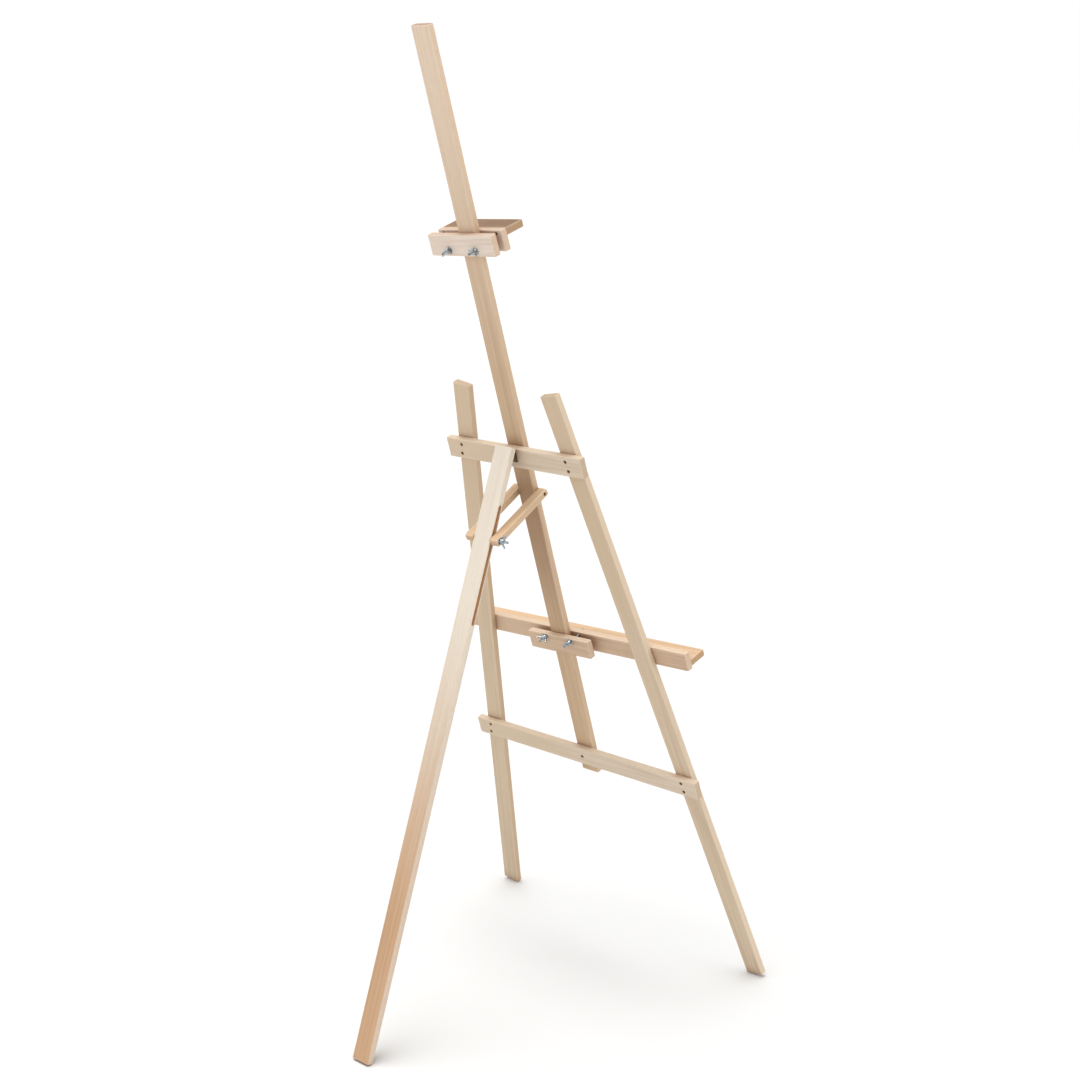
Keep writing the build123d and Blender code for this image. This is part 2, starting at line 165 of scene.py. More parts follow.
class Sheet:
    def __init__(self, tree):
        self.tree = tree

    def feed(self, socket, value):
        if isinstance(value, Wire):
            self.tree.links.new(value.socket, socket)
        else:
            socket.default_value = value

    def node(self, kind, settings=None, inputs=None, output=0):
        made = self.tree.nodes.new(kind)
        for key, value in (settings or {}).items():
            setattr(made, key, value)
        for key, value in (inputs or {}).items():
            self.feed(made.inputs[key], value)
        return Wire(self, made.outputs[output])

    def split(self, vector):
        made = self.node("ShaderNodeSeparateXYZ", {}, {"Vector": vector})
        return [Wire(self, output) for output in made.socket.node.outputs]

    def vectors(self, operation, first, second=(0, 0, 0), output=0):
        return self.node("ShaderNodeVectorMath", {"operation": operation}, {0: first, 1: second}, output)

    def noise(self, vector, scales, detail=2.0, roughness=0.5):
        place = self.vectors("MULTIPLY", vector, scales)
        inputs = {"Vector": place, "Scale": 1.0, "Detail": detail, "Roughness": roughness}
        return self.node("ShaderNodeTexNoise", {"noise_dimensions": "3D"}, inputs, "Fac")

    def ramp(self, value, start, end):  # soft step from 0 to 1
        inputs = {"Value": value, "From Min": start, "From Max": end}
        return self.node("ShaderNodeMapRange", {"interpolation_type": "SMOOTHSTEP"}, inputs)

    def mixed(self, amount, first, second):
        return self.node("ShaderNodeMix", {"data_type": "RGBA"}, {0: amount, 6: first, 7: second}, 2)


class Finish(Sheet):
    bumpStrength = 0.6

    def __init__(self, name):
        self.material = bpy.data.materials.new(name)
        self.material.use_nodes = True
        super().__init__(self.material.node_tree)
        self.shader = self.tree.nodes["Principled BSDF"]

    def finished(self, color, roughness, height, bumpDepth, metallic=0.0):
        self.feed(self.shader.inputs["Base Color"], color)
        self.feed(self.shader.inputs["Roughness"], roughness)
        self.feed(self.shader.inputs["Metallic"], metallic)
        inputs = {"Height": height, "Strength": self.bumpStrength, "Distance": bumpDepth}
        self.feed(self.shader.inputs["Normal"], self.node("ShaderNodeBump", {}, inputs))
        return self.material


def screenColor(red, green, blue):  # a colour as seen on screen, as the shader's linear one
    def linear(value):
        value = value / 255
        return value / 12.92 if value <= 0.04045 else ((value + 0.055) / 1.055) ** 2.4

    return (linear(red), linear(green), linear(blue), 1.0)


# raw sanded pine: pale ground, deeper streaks and rings, end grain, cut walls, rubbed edges that also carry
# painted edge highlights, painted shade in corners and gaps

pine = {
    "ringDepth": 0.26,
    "streakDepth": 0.34,
    "streakFade": 0.75,
    "fibreDepth": 0.42,
    "mottleDepth": 0.42,
    "fleckDepth": 0.5,
    "narrowDepth": 0.6,
    "endDepth": 0.6,
    "endRingDepth": 0.3,
    # rubbed edges: paler worn wood that also serves as painted edge highlight
    "rubbedAndHighlightDepth": 0.3,
    "rubbedAndHighlightColor": screenColor(226, 208, 184),
    "cutDepth": 0.85,
    "cutColor": screenColor(226, 172, 112),
    # painted shade: how far and how finely ambient occlusion looks for neighbours, how strongly and in what
    # brown it darkens the colour
    "paintedShadeReach": 0.03,
    "paintedShadeSamples": 6,
    "paintedShadeDepth": 0.72,
    "paintedShadeColor": screenColor(150, 98, 54),
    # from the upper or left tone to the far one: shares of the half length, and how far mottling blurs them
    "fade": (-0.3, 0.65),
    "fadeBlur": 0.1,
    "bumpDepth": 0.0003,
}
pineRoughness = {"base": 0.62, "fibre": 0.2, "endGrain": 0.12, "rubbedAndHighlight": 0.14, "lateWood": 0.06}
pineHeight = {"fibre": 0.6, "lateWood": 0.35, "fleck": 0.5, "endFibre": 0.8}

# patterns in the wood: changes in a metre across, along and through the lath, then detail and roughness
woodNoise = {
    "wander": ((7.0, 1.3, 7.0), 2.0),
    "streak": ((150.0, 2.6, 150.0), 3.0, 0.6),
    "fibre": ((900.0, 16.0, 900.0), 3.0, 0.65),
    "mottle": ((34.0, 7.0, 34.0), 3.0, 0.55),
    "fleck": ((1300.0, 60.0, 1300.0), 1.0),
}

# soft steps: where each begins and ends
woodSteps = {
    "lateWoodRise": (0.3, 0.9),
    "lateWoodFall": (0.9, 1.0),
    "streak": (0.38, 0.68),
    "fleck": (0.66, 0.78),
    "cutWall": (0.0009, 0.0021),
    "edge": (0.0004, 0.0042),
    "rubbedAndHighlightPatch": (0.3, 0.6),
    "endGrain": (0.55, 0.9),
    "narrowFace": (0.6, 0.95),
    "openness": (0.12, 0.84),
}

# growth rings: their gap, and how far the heart lies beside and behind a lath, sways and wanders
rings = {"gap": 0.0034, "beside": 0.018, "behind": 0.045, "sway": 0.012, "wander": 0.03}

# what moves a lath's pattern and its heart on from the lath before it
logSteps = {"place": (1.7, 3.1, 0.9), "beside": 2.4, "behind": 1.7}

# painted shadow on the mast's rear face below the upper crossbar, where the rear leg and struts shade it, in
# shares of the half length and half thickness
paintedShadow = {
    "lowerEnd": (-0.62, -0.26),
    "lowerBlur": 0.1,
    "upperEnd": (-0.14, -0.04),
    "upperBlur": 0.06,
    "frontEdge": (-0.8, 0.4),
    "depth": 0.78,
}

# ground and streak colours at a lath's upper or left end, the ground at its other end, its narrow faces,
# whose tone is painted light and shade for how light falls on the lath's sides, and its end grain
woodTones = {
    "leg": {
        "pale": (206, 186, 160), "deep": (176, 152, 122), "far": (200, 178, 150),
        "narrow": (214, 194, 170), "end": (172, 146, 122),
    },
    # the far front leg: painted shade, mostly on its darker narrow faces
    "shadedLeg": {
        "pale": (204, 184, 156), "deep": (174, 150, 120), "far": (202, 180, 152),
        "narrow": (182, 152, 118), "end": (172, 146, 122),
    },
    "mast": {
        "pale": (196, 167, 135), "deep": (166, 134, 100), "far": (222, 200, 178),
        # the mast's last tone is the colour of the painted shadow below the upper crossbar
        "narrow": (206, 178, 148), "end": (136, 102, 82), "fade": (0.0, 1.0), "shadowed": (148, 115, 84),
    },
    "crossbar": {
        "pale": (210, 193, 172), "deep": (186, 163, 138), "far": (204, 184, 158),
        "narrow": (200, 180, 156), "end": (182, 156, 128),
    },
    "rearLeg": {
        "pale": (186, 150, 116), "deep": (160, 122, 88), "far": (215, 205, 190),
        "narrow": (222, 208, 192), "end": (176, 142, 106), "fade": (-0.6, 0.62),
    },
    "strut": {
        "pale": (206, 176, 142), "deep": (168, 130, 92), "far": (200, 168, 132),
        "narrow": (206, 178, 146), "end": (196, 162, 132),
    },
    "tray": {
        "pale": (200, 173, 145), "deep": (170, 137, 106), "far": (200, 173, 145),
        "narrow": (208, 186, 162), "end": (208, 184, 160),
    },
    "trayLedge": {
        "pale": (204, 172, 138), "deep": (172, 136, 100), "far": (204, 172, 138),
        "narrow": (200, 168, 134), "end": (172, 136, 98),
    },
    "holder": {
        "pale": (224, 208, 194), "deep": (196, 172, 150), "far": (220, 202, 186),
        "narrow": (172, 134, 100), "end": (200, 168, 138),
    },
    # the top holder's ledge: dark brown throughout, painted shade for the shadow on its top
    "shadedHolderLedge": {
        "pale": (134, 102, 72), "deep": (92, 64, 40), "far": (130, 98, 68),
        "narrow": (176, 140, 104), "end": (186, 152, 118),
    },
}


def sharesOf(size, shares):
    return [size * share for share in shares]


def grownWood(finish, local, spot, order):  # rings round a heart outside the lath, streaks, fibres and flecks
    wide, along, thick = spot
    grown = finish.vectors("ADD", local, tuple(order * step for step in logSteps["place"]))
    noise = {name: finish.noise(grown, *pattern) for name, pattern in woodNoise.items()}
    beside = rings["beside"] * math.sin(order * logSteps["beside"])
    behind = rings["behind"] + rings["sway"] * math.cos(order * logSteps["behind"])
    fromHeart = finish.node("ShaderNodeCombineXYZ", {}, {
        0: wide + beside + (noise["wander"] - 0.5) * rings["wander"],
        1: 0.0,
        2: thick + behind + along * (rings["sway"] * math.sin(order)),
    })
    ring = (finish.vectors("LENGTH", fromHeart, output="Value") / rings["gap"]).fraction()
    rise = finish.ramp(ring, *woodSteps["lateWoodRise"])
    fall = finish.ramp(ring, *woodSteps["lateWoodFall"])
    return {
        "lateWood": rise * (1 - fall),
        "streak": finish.ramp(noise["streak"], *woodSteps["streak"]),
        "fibre": noise["fibre"],
        "mottle": noise["mottle"],
        "fleck": finish.ramp(noise["fleck"], *woodSteps["fleck"]),
    }


def workedWood(finish, lath, spot, mottle):  # what sawing, drilling and handling leave, with painted edge highlights on rubbed edges and painted shade in crevices and gaps
    wide, along, thick = spot
    half = lath["half"]
    # how deep a point lies in from the lath's faces, and from its nearest edge
    inWide = half[0] - abs(wide)
    inAlong = half[1] - abs(along)
    inThick = half[2] - abs(thick)
    nearest = inWide.least(inThick)
    secondNearest = nearest.most(inWide.most(inThick).least(inAlong))
    edge = 1 - finish.ramp(secondNearest, *woodSteps["edge"])
    normal = finish.node("ShaderNodeTexCoord", output="Normal")
    lengthwise = finish.vectors("DOT_PRODUCT", normal, lath["along"], "Value")
    crosswise = finish.vectors("DOT_PRODUCT", normal, lath["wide"], "Value")
    # painted shade: ambient occlusion darkens the colour in crevices, in gaps between parts and near the
    # floor
    openness = finish.node(
        "ShaderNodeAmbientOcclusion", {"samples": pine["paintedShadeSamples"]}, {"Distance": pine["paintedShadeReach"]}, "AO"
    )
    return {
        "cutWall": finish.ramp(nearest.least(inAlong), *woodSteps["cutWall"]),
        # rubbed edges in patches: worn paler wood and painted edge highlights
        "rubbedAndHighlight": edge * finish.ramp(mottle, *woodSteps["rubbedAndHighlightPatch"]),
        "endGrain": finish.ramp(abs(lengthwise), *woodSteps["endGrain"]),
        # narrow faces, which take the painted light and shade tone
        "narrowFace": finish.ramp(abs(crosswise), *woodSteps["narrowFace"]),
        "paintedShade": 1 - finish.ramp(openness, *woodSteps["openness"]),
    }


# how much painted shadow lies on the mast's rear face at a point
def paintedShadowShare(finish, half, spot, mottle):
    along, thick = spot[1:]
    lower = along + (mottle - 0.5) * paintedShadow["lowerBlur"]
    upper = along + (mottle - 0.5) * paintedShadow["upperBlur"]
    above = finish.ramp(lower, *sharesOf(half[1], paintedShadow["lowerEnd"]))
    below = 1 - finish.ramp(upper, *sharesOf(half[1], paintedShadow["upperEnd"]))
    rearward = 1 - finish.ramp(thick, *sharesOf(half[2], paintedShadow["frontEdge"]))
    return below * above * rearward * paintedShadow["depth"]


def pineFinish(node, order):
    lath = measured(node)
    look = woodTones[lath["look"]]
    tone = {key: screenColor(*value) for key, value in look.items() if key != "fade"}
    finish = Finish("pine_" + node)
    place = finish.node("ShaderNodeTexCoord", output="Object")
    local = finish.node(
        "ShaderNodeMapping",
        {"vector_type": "TEXTURE"},
        {"Vector": place, "Location": lath["middle"], "Rotation": lath["turn"]},
    )
    spot = finish.split(local)
    grown = grownWood(finish, local, spot, order)
    worked = workedWood(finish, lath, spot, grown["mottle"])
    fibre, lateWood, endGrain = grown["fibre"], grown["lateWood"], worked["endGrain"]

    blurred = spot[1] + (grown["mottle"] - 0.5) * pine["fadeBlur"]
    reach = finish.ramp(blurred, *sharesOf(lath["half"][1], look.get("fade", pine["fade"])))
    pale = finish.mixed(reach, tone["pale"], tone["far"])
    deep = finish.mixed(reach * pine["streakFade"], tone["deep"], tone["far"])
    ground = grown["streak"] * pine["streakDepth"] + lateWood * pine["ringDepth"]
    ground = ground + (grown["mottle"] - 0.5) * pine["mottleDepth"]
    color = finish.mixed(ground + (fibre - 0.5) * pine["fibreDepth"], pale, deep)
    layers = [
        # narrow faces: painted light where light falls on a lath's sides, painted shade where they lie in
        # shade
        (worked["narrowFace"] * pine["narrowDepth"], tone["narrow"]),
        (grown["fleck"] * pine["fleckDepth"], tone["deep"]),
        # rubbed edges: worn paler wood and painted edge highlights
        (worked["rubbedAndHighlight"] * pine["rubbedAndHighlightDepth"], pine["rubbedAndHighlightColor"]),
        (endGrain * (pine["endDepth"] + lateWood * pine["endRingDepth"]), tone["end"]),
        (worked["cutWall"] * pine["cutDepth"], pine["cutColor"]),
        # painted shade in crevices and gaps, kept off the cut walls
        (worked["paintedShade"] * pine["paintedShadeDepth"] * (1 - worked["cutWall"]), pine["paintedShadeColor"]),
    ]
    # painted shadow on the mast's rear face below the upper crossbar
    if "shadowed" in tone:
        layers.insert(0, (paintedShadowShare(finish, lath["half"], spot, grown["mottle"]), tone["shadowed"]))
    for amount, layer in layers:
        color = finish.mixed(amount, color, layer)

    roughness = pineRoughness["base"] + (fibre - 0.5) * pineRoughness["fibre"]
    roughness = roughness + endGrain * pineRoughness["endGrain"] - worked["rubbedAndHighlight"] * pineRoughness["rubbedAndHighlight"]
    roughness = roughness - lateWood * pineRoughness["lateWood"]
    height = fibre * pineHeight["fibre"] + lateWood * pineHeight["lateWood"]
    height = height - grown["fleck"] * pineHeight["fleck"] + endGrain * fibre * pineHeight["endFibre"]
    return finish.finished(color, roughness, height, pine["bumpDepth"])


def dress(piece, material):
    piece.data.materials.clear()
    piece.data.materials.append(material)


for order, node in enumerate(laths, start=1):
    dress(nodes[node], pineFinish(node, order))
print("laths dressed,", len(laths))

# zinc plate with painted reflections, dull screw steel darkened as painted shade of its recesses, and rolled
# hinge steel painted dark as the shade in the gap behind the rear leg

metals = {
    # zinc: bright and dull are the light and dark patches of a painted reflection
    "zinc": {
        "bright": (184, 192, 198), "dull": (48, 56, 62),
        "roughness": 0.22, "spread": 0.14, "bump": 0.00003,
    },
    # screw: dark steel, darkened further to brown as painted shade of the recesses its head sits in
    "screw": {
        "bright": (92, 76, 54), "dull": (46, 36, 26),
        "roughness": 0.4, "spread": 0.2, "bump": 0.00003,
    },
    # hinge: painted dark, painted shade for the gap between the rear leg and the crossbar
    "hinge": {
        "bright": (98, 84, 68), "dull": (56, 46, 36),
        "roughness": 0.42, "spread": 0.2, "bump": 0.00004,
    },
}

# patterns on the metal: changes in a metre along each axis, then detail and roughness
metalNoise = {
    "cloud": ((330.0, 330.0, 330.0), 3.0, 0.6),
    "grit": ((2600.0, 2600.0, 2600.0), 2.0),
    "rub": ((120.0, 1900.0, 1900.0), 2.0),
}
metalReflectionAndWear = {"step": (0.4, 0.72), "gritRoughness": 0.08, "gritHeight": 0.5, "rubHeight": 0.5}


def metalFinish(name):
    look = metals[name]
    finish = Finish(name + "_steel")
    place = finish.node("ShaderNodeTexCoord", output="Object")
    noise = {key: finish.noise(place, *pattern) for key, pattern in metalNoise.items()}
    # painted reflections: cloud patches of bright and dark base colour, which also vary the roughness
    reflectionAndWear = finish.ramp(noise["cloud"], *metalReflectionAndWear["step"])
    color = finish.mixed(reflectionAndWear, screenColor(*look["bright"]), screenColor(*look["dull"]))
    roughness = look["roughness"] + reflectionAndWear * look["spread"] + (noise["grit"] - 0.5) * metalReflectionAndWear["gritRoughness"]
    height = noise["grit"] * metalReflectionAndWear["gritHeight"] + noise["rub"] * metalReflectionAndWear["rubHeight"]
    return finish.finished(color, roughness, height, look["bump"], 1.0)


steel = {name: metalFinish(name) for name in metals}
# hinge and screws take dark steel that paints the shade around them
for node in ("hinge_frame_leaf", "hinge_leg_leaf", "hinge_pin"):
    dress(nodes[node], steel["hinge"])
for node in ("hinge_frame_screws", "hinge_leg_screws"):
    dress(nodes[node], steel["screw"])

# modelling helpers

weld = 0.000002
origin = Vector((0, 0, 0))
upward = Vector((0, 0, 1))


def started(name, add, **settings):
    bpy.ops.object.select_all(action="DESELECT")
    add(**settings)
    piece = bpy.context.object
    piece.name = name
    piece.data.name = name
    return piece


def chosen(*pieces):
    bpy.ops.object.select_all(action="DESELECT")
    for piece in pieces:
        piece.select_set(True)
    bpy.context.view_layer.objects.active = pieces[0]


def applied(piece, kind, **settings):
    chosen(piece)
    modifier = piece.modifiers.new(kind.lower(), kind)
    for key, value in settings.items():
        setattr(modifier, key, value)
    bpy.ops.object.modifier_apply(modifier=modifier.name)


def joined(name, pieces):
    chosen(*pieces)
    if len(pieces) > 1:
        bpy.ops.object.join()
    pieces[0].name = name
    pieces[0].data.name = name
    return pieces[0]


def removed(*pieces):
    for piece in pieces:
        bpy.data.objects.remove(piece)


def selectWhere(piece, test):  # vertices picked by their place
    bpy.ops.mesh.select_all(action="DESELECT")
    bpy.ops.object.mode_set(mode="OBJECT")
    for vertex in piece.data.vertices:
        vertex.select = test(vertex.co)
    bpy.ops.object.mode_set(mode="EDIT")


def blockPiece(name, size, middle, turn=0):  # a plain block, its turn in degrees about Z
    place = {"location": middle, "rotation": (0, 0, math.radians(turn))}
    piece = started(name, bpy.ops.mesh.primitive_cube_add, size=1, **place)
    piece.scale = size
    chosen(piece)
    bpy.ops.object.transform_apply(location=True, rotation=True, scale=True)
    return piece


def chain(name, outline):  # one vertex drawn out along an outline of (radius, height)
    piece = started(name, bpy.ops.mesh.primitive_plane_add, size=0.001)
    bpy.ops.object.mode_set(mode="EDIT")
    bpy.ops.mesh.merge(type="CENTER")
    bpy.ops.transform.translate(value=(outline[0][0], 0, outline[0][1]))
    for before, after in zip(outline, outline[1:]):
        step = (after[0] - before[0], 0, after[1] - before[1])
        bpy.ops.mesh.extrude_region_move(TRANSFORM_OT_translate={"value": step})
    return piece


def turnedPiece(name, outline, steps=40):  # an outline spun round Z
    piece = chain(name, outline)
    bpy.ops.mesh.select_all(action="SELECT")
    bpy.ops.mesh.spin(steps=steps, angle=2 * math.pi, center=origin, axis=upward)
    bpy.ops.mesh.select_all(action="SELECT")
    bpy.ops.mesh.remove_doubles(threshold=weld)
    bpy.ops.mesh.normals_make_consistent(inside=False)
    bpy.ops.object.mode_set(mode="OBJECT")
    return piece


def smoothed(piece, degrees=35):
    chosen(piece)
    bpy.ops.object.shade_smooth_by_angle(angle=math.radians(degrees))
    return piece


def placed(master, name, spot, outward, sidewise=None):  # a copy with its Z outward and its X sidewise
    copy = master.copy()
    copy.data = master.data.copy()
    bpy.context.scene.collection.objects.link(copy)
    copy.name = name
    outward = outward.normalized()
    start = sidewise or outward.orthogonal()
    first = (start - outward * start.dot(outward)).normalized()
    matrix = Matrix((first, outward.cross(first), outward)).transposed().to_4x4()
    matrix.translation = spot
    copy.data.transform(matrix)
    return copy


def mounted(name, pieces, body, node, material):
    piece = joined(name, pieces)
    dress(piece, material)
    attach(piece, body)
    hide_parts(node)
    return piece


# carriage bolts: domed head, square neck, plain shank and a rolled thread

bolt = {
    "radius": 0.0025,
    "headRadius": 0.0065,
    "headHeight": 0.0026,
    # the head's rim and its dome's foot, in shares of the head's height
    "rimFoot": 0.06,
    "rimTop": 0.2,
    "domeFoot": 0.18,
    "rimBevel": 0.0003,
    "neckLength": 0.003,
    "neckBevel": 0.0003,
    "tail": 0.0182,
    "threadLength": 0.03,
    "threadDepth": 0.00045,
    "shoulder": 0.0004,
    "pitch": 0.0008,
    # the thread's flank and crest, in shares of its pitch
    "flank": 0.42,
    "crest": 0.12,
    "endBevel": 0.00045,
    "endShare": 0.84,
}


def threadPiece(name, bottom, top):
    radius, pitch = bolt["radius"], bolt["pitch"]
    root = radius - bolt["threadDepth"]
    turns = round(bolt["threadLength"] / pitch) + 2
    start = bottom - pitch
    flank = pitch * bolt["flank"]
    profile = [
        (root, start), (radius, start + flank), (radius, start + flank + pitch * bolt["crest"]),
        (root, start + pitch),
    ]
    thread = chain(name, profile)
    bpy.ops.object.mode_set(mode="OBJECT")
    winding = {"angle": 2 * math.pi, "screw_offset": pitch, "iterations": turns}
    applied(thread, "SCREW", axis="Z", steps=24, render_steps=24, **winding)
    bpy.ops.object.mode_set(mode="EDIT")
    bpy.ops.mesh.select_all(action="SELECT")
    bpy.ops.mesh.remove_doubles(threshold=weld)
    bpy.ops.mesh.bisect(plane_co=(0, 0, bottom), plane_no=upward, use_fill=True, clear_inner=True)
    bpy.ops.mesh.select_all(action="SELECT")
    bpy.ops.mesh.bisect(plane_co=(0, 0, top), plane_no=upward, use_fill=True, clear_outer=True)
    selectWhere(thread, lambda spot: spot.z < bottom + bolt["endBevel"])
    endShare = bolt["endShare"]
    bpy.ops.transform.resize(value=(endShare, endShare, 1), center_override=(0, 0, bottom))
    bpy.ops.mesh.select_all(action="SELECT")
    bpy.ops.mesh.normals_make_consistent(inside=False)
    bpy.ops.object.mode_set(mode="OBJECT")
    return thread


def boltMaster(name, grip):  # head on Z 0, shank down to minus its length
    radius, head, height = bolt["radius"], bolt["headRadius"], bolt["headHeight"]
    bottom = -(grip + bolt["tail"])
    threadTop = bottom + bolt["threadLength"]
    outline = [(0, height)]
    for angle in range(80, 0, -10):
        rise = bolt["domeFoot"] + (1 - bolt["domeFoot"]) * math.sin(math.radians(angle))
        outline.append((head * math.cos(math.radians(angle)), height * rise))
    outline += [
        (head, height * bolt["rimTop"]), (head, height * bolt["rimFoot"]), (head - bolt["rimBevel"], 0),
        (radius, 0), (radius, threadTop),
        (radius - bolt["threadDepth"], threadTop - bolt["shoulder"]), (0, threadTop - bolt["shoulder"]),
    ]
    shank = turnedPiece(name, outline)
    neckLength = bolt["neckLength"]
    neck = blockPiece(name + "Neck", (2 * radius, 2 * radius, neckLength), (0, 0, -neckLength / 2))
    applied(neck, "BEVEL", width=bolt["neckBevel"], segments=2)
    thread = threadPiece(name + "Thread", bottom, threadTop)
    return smoothed(joined(name, [shank, neck, thread]), 40)


# flat washer with softened rims, base on Z 0

washer = {"outer": 0.0075, "inner": 0.0027, "thickness": 0.0012, "soft": 0.00025}


def washerMaster():
    outer, inner, top, soft = (washer[key] for key in ("outer", "inner", "thickness", "soft"))
    outline = [
        (inner, soft / 2), (inner + soft / 2, 0), (outer - soft / 2, 0), (outer, soft / 2),
        (outer, top - soft), (outer - soft / 3, top - soft / 3), (outer - soft, top),
        (inner + soft, top), (inner, top - soft), (inner, soft / 2),
    ]
    return smoothed(turnedPiece("washerMaster", outline, 48), 50)


# wing nut: tapered hub and two cast wings that grow out of it

wingNut = {
    "baseRadius": 0.0052,
    "baseBevel": 0.0003,
    "baseHeight": 0.0012,
    "topRadius": 0.0042,
    "topBevel": 0.0005,
    "soft": 0.0004,
    "waist": 0.002,
    "bore": 0.00253,
    "height": 0.0075,
    # wing sections: distance out, lowest, highest, thickness
    "sections": (
        (0.0026, 0.0010, 0.0064, 0.0034),
        (0.0050, 0.0016, 0.0076, 0.0026),
        (0.0078, 0.0042, 0.0104, 0.0022),
        (0.0108, 0.0064, 0.0128, 0.0021),
        (0.0126, 0.0078, 0.0126, 0.0018),
    ),
    "firstSlice": 0.0008,
    "voxel": 0.00022,
    "trianglesKept": 0.3,
}


def wingPiece():
    sections = wingNut["sections"]
    distance, low, high, thick = sections[0]
    wing = blockPiece("wing", (wingNut["firstSlice"], thick, high - low), (distance, 0, (low + high) / 2))
    bpy.ops.object.mode_set(mode="EDIT")
    selectWhere(wing, lambda spot: spot.x > distance)
    for before, after in zip(sections, sections[1:]):
        centre = (after[0], 0, (after[1] + after[2]) / 2)
        step = (after[0] - before[0], 0, (after[1] + after[2] - before[1] - before[2]) / 2)
        size = (1, after[3] / before[3], (after[2] - after[1]) / (before[2] - before[1]))
        bpy.ops.mesh.extrude_region_move(TRANSFORM_OT_translate={"value": step})
        bpy.ops.transform.resize(value=size, center_override=centre)
    bpy.ops.object.mode_set(mode="OBJECT")
    applied(wing, "SUBSURF", levels=3, render_levels=3)
    return wing


def wingNutMaster():
    base, top, height, soft = (wingNut[key] for key in ("baseRadius", "topRadius", "height", "soft"))
    hub = turnedPiece("wingNutMaster", [
        (0, 0), (base - wingNut["baseBevel"], 0), (base, wingNut["baseBevel"]),
        (base, wingNut["baseHeight"]), (base - soft, wingNut["waist"]),
        (top, height - wingNut["topBevel"]), (top - soft, height), (0, height),
    ], 48)
    wing = wingPiece()
    other = placed(wing, "otherWing", origin, upward, -sideways)
    nut = joined("wingNutMaster", [hub, wing, other])
    applied(nut, "REMESH", mode="VOXEL", voxel_size=wingNut["voxel"])
    applied(nut, "SMOOTH", factor=0.5, iterations=6)
    through = {"radius": wingNut["bore"], "depth": 4 * height}
    bore = started("bore", bpy.ops.mesh.primitive_cylinder_add, vertices=40, **through)
    applied(nut, "BOOLEAN", operation="DIFFERENCE", object=bore, solver="EXACT")
    removed(bore)
    applied(nut, "DECIMATE", ratio=wingNut["trianglesKept"])
    return smoothed(nut, 50)


# wood screw with a pan head and a cross recess, head's top on Z 0

woodScrew = {
    "headRadius": 0.0034,
    "headHeight": 0.0022,
    "soft": 0.0002,
    # the head's crown: share of its radius, depth below its top
    "crown": ((0.55, 0.00004), (0.85, 0.0003), (0.97, 0.0008)),
    "shank": 0.0018,
    "point": 0.0022,
    "length": 0.0208,
    "recess": (0.0038, 0.00085, 0.003),
    "recessTaper": 0.45,
}


def recessArm(turn):
    arm = blockPiece("arm", woodScrew["recess"], (0, 0, 0), turn)
    bpy.ops.object.mode_set(mode="EDIT")
    selectWhere(arm, lambda spot: spot.z < 0)
    taper = woodScrew["recessTaper"]
    bpy.ops.transform.resize(value=(taper, taper, 1), center_override=(0, 0, 0))
    bpy.ops.object.mode_set(mode="OBJECT")
    return arm


def woodScrewMaster():
    keys = ("headRadius", "headHeight", "soft", "shank", "point", "length")
    head, height, soft, shank, point, length = (woodScrew[key] for key in keys)
    outline = [(0, 0)] + [(head * share, -depth) for share, depth in woodScrew["crown"]]
    outline += [
        (head, -height + soft), (head - soft, -height),
        (shank, -height), (shank, -length + point), (0, -length),
    ]
    screw = turnedPiece("screwMaster", outline, 40)
    arms = [recessArm(turn) for turn in (0, 90)]
    for arm in arms:
        applied(screw, "BOOLEAN", operation="DIFFERENCE", object=arm, solver="EXACT")
    removed(*arms)
    return smoothed(screw, 35)


# nuts, washers and bolts go where their joints say

clampGrip = 3 * easel["stock"]
clamps = {
    "tray": {"bolts": "tray_bolts", "washers": "tray_washers", "nuts": ("tray_nut_left", "tray_nut_right")},
    "top_holder": {
        "bolts": "top_holder_bolts",
        "washers": "top_holder_washers",
        "nuts": ("top_holder_nut_left", "top_holder_nut_right"),
    },
}
wingTipShare = 0.93


def wingLine(node, spot, outward):  # the way a nut's wings point, from the vertices at one wing's tip
    best = origin
    arms = []
    for vertex in nodes[node].data.vertices:
        arm = vertex.co - spot
        arm = arm - outward * arm.dot(outward)
        arms.append(arm)
        if arm.length > best.length:
            best = arm
    tips = [arm for arm in arms if arm.length > wingTipShare * best.length and arm.dot(best) > 0]
    return sum(tips, origin).normalized()


nutMaster = wingNutMaster()
flatMaster = washerMaster()
clampBolt = boltMaster("clampBoltMaster", clampGrip)
longBolt = boltMaster("strutBoltMaster", 2 * easel["strutOuterFace"])
print("hardware masters made")


def inZinc(name, pieces, body, node):
    return mounted(name, pieces, body, node, steel["zinc"])


def fittedNut(node, seat, outward, body):
    spot = seat + outward * washer["thickness"]
    nut = placed(nutMaster, node + "_cast", spot, outward, wingLine(node, spot, outward))
    inZinc(node + "_cast", [nut], body, node)


for body, clamp in clamps.items():
    seats = [Vector(joints[nut + "_turn"]["pos_m"]) for nut in clamp["nuts"]]
    bolts = [placed(clampBolt, "bolt", seat - outRear * clampGrip, -outRear, sideways) for seat in seats]
    inZinc(clamp["bolts"] + "_threaded", bolts, body, clamp["bolts"])
    flats = [placed(flatMaster, "washer", seat, outRear) for seat in seats]
    inZinc(clamp["washers"] + "_flat", flats, body, clamp["washers"])
    for nut, seat in zip(clamp["nuts"], seats):
        fittedNut(nut.replace("nut", "wing_nut"), seat, outRear, nut)

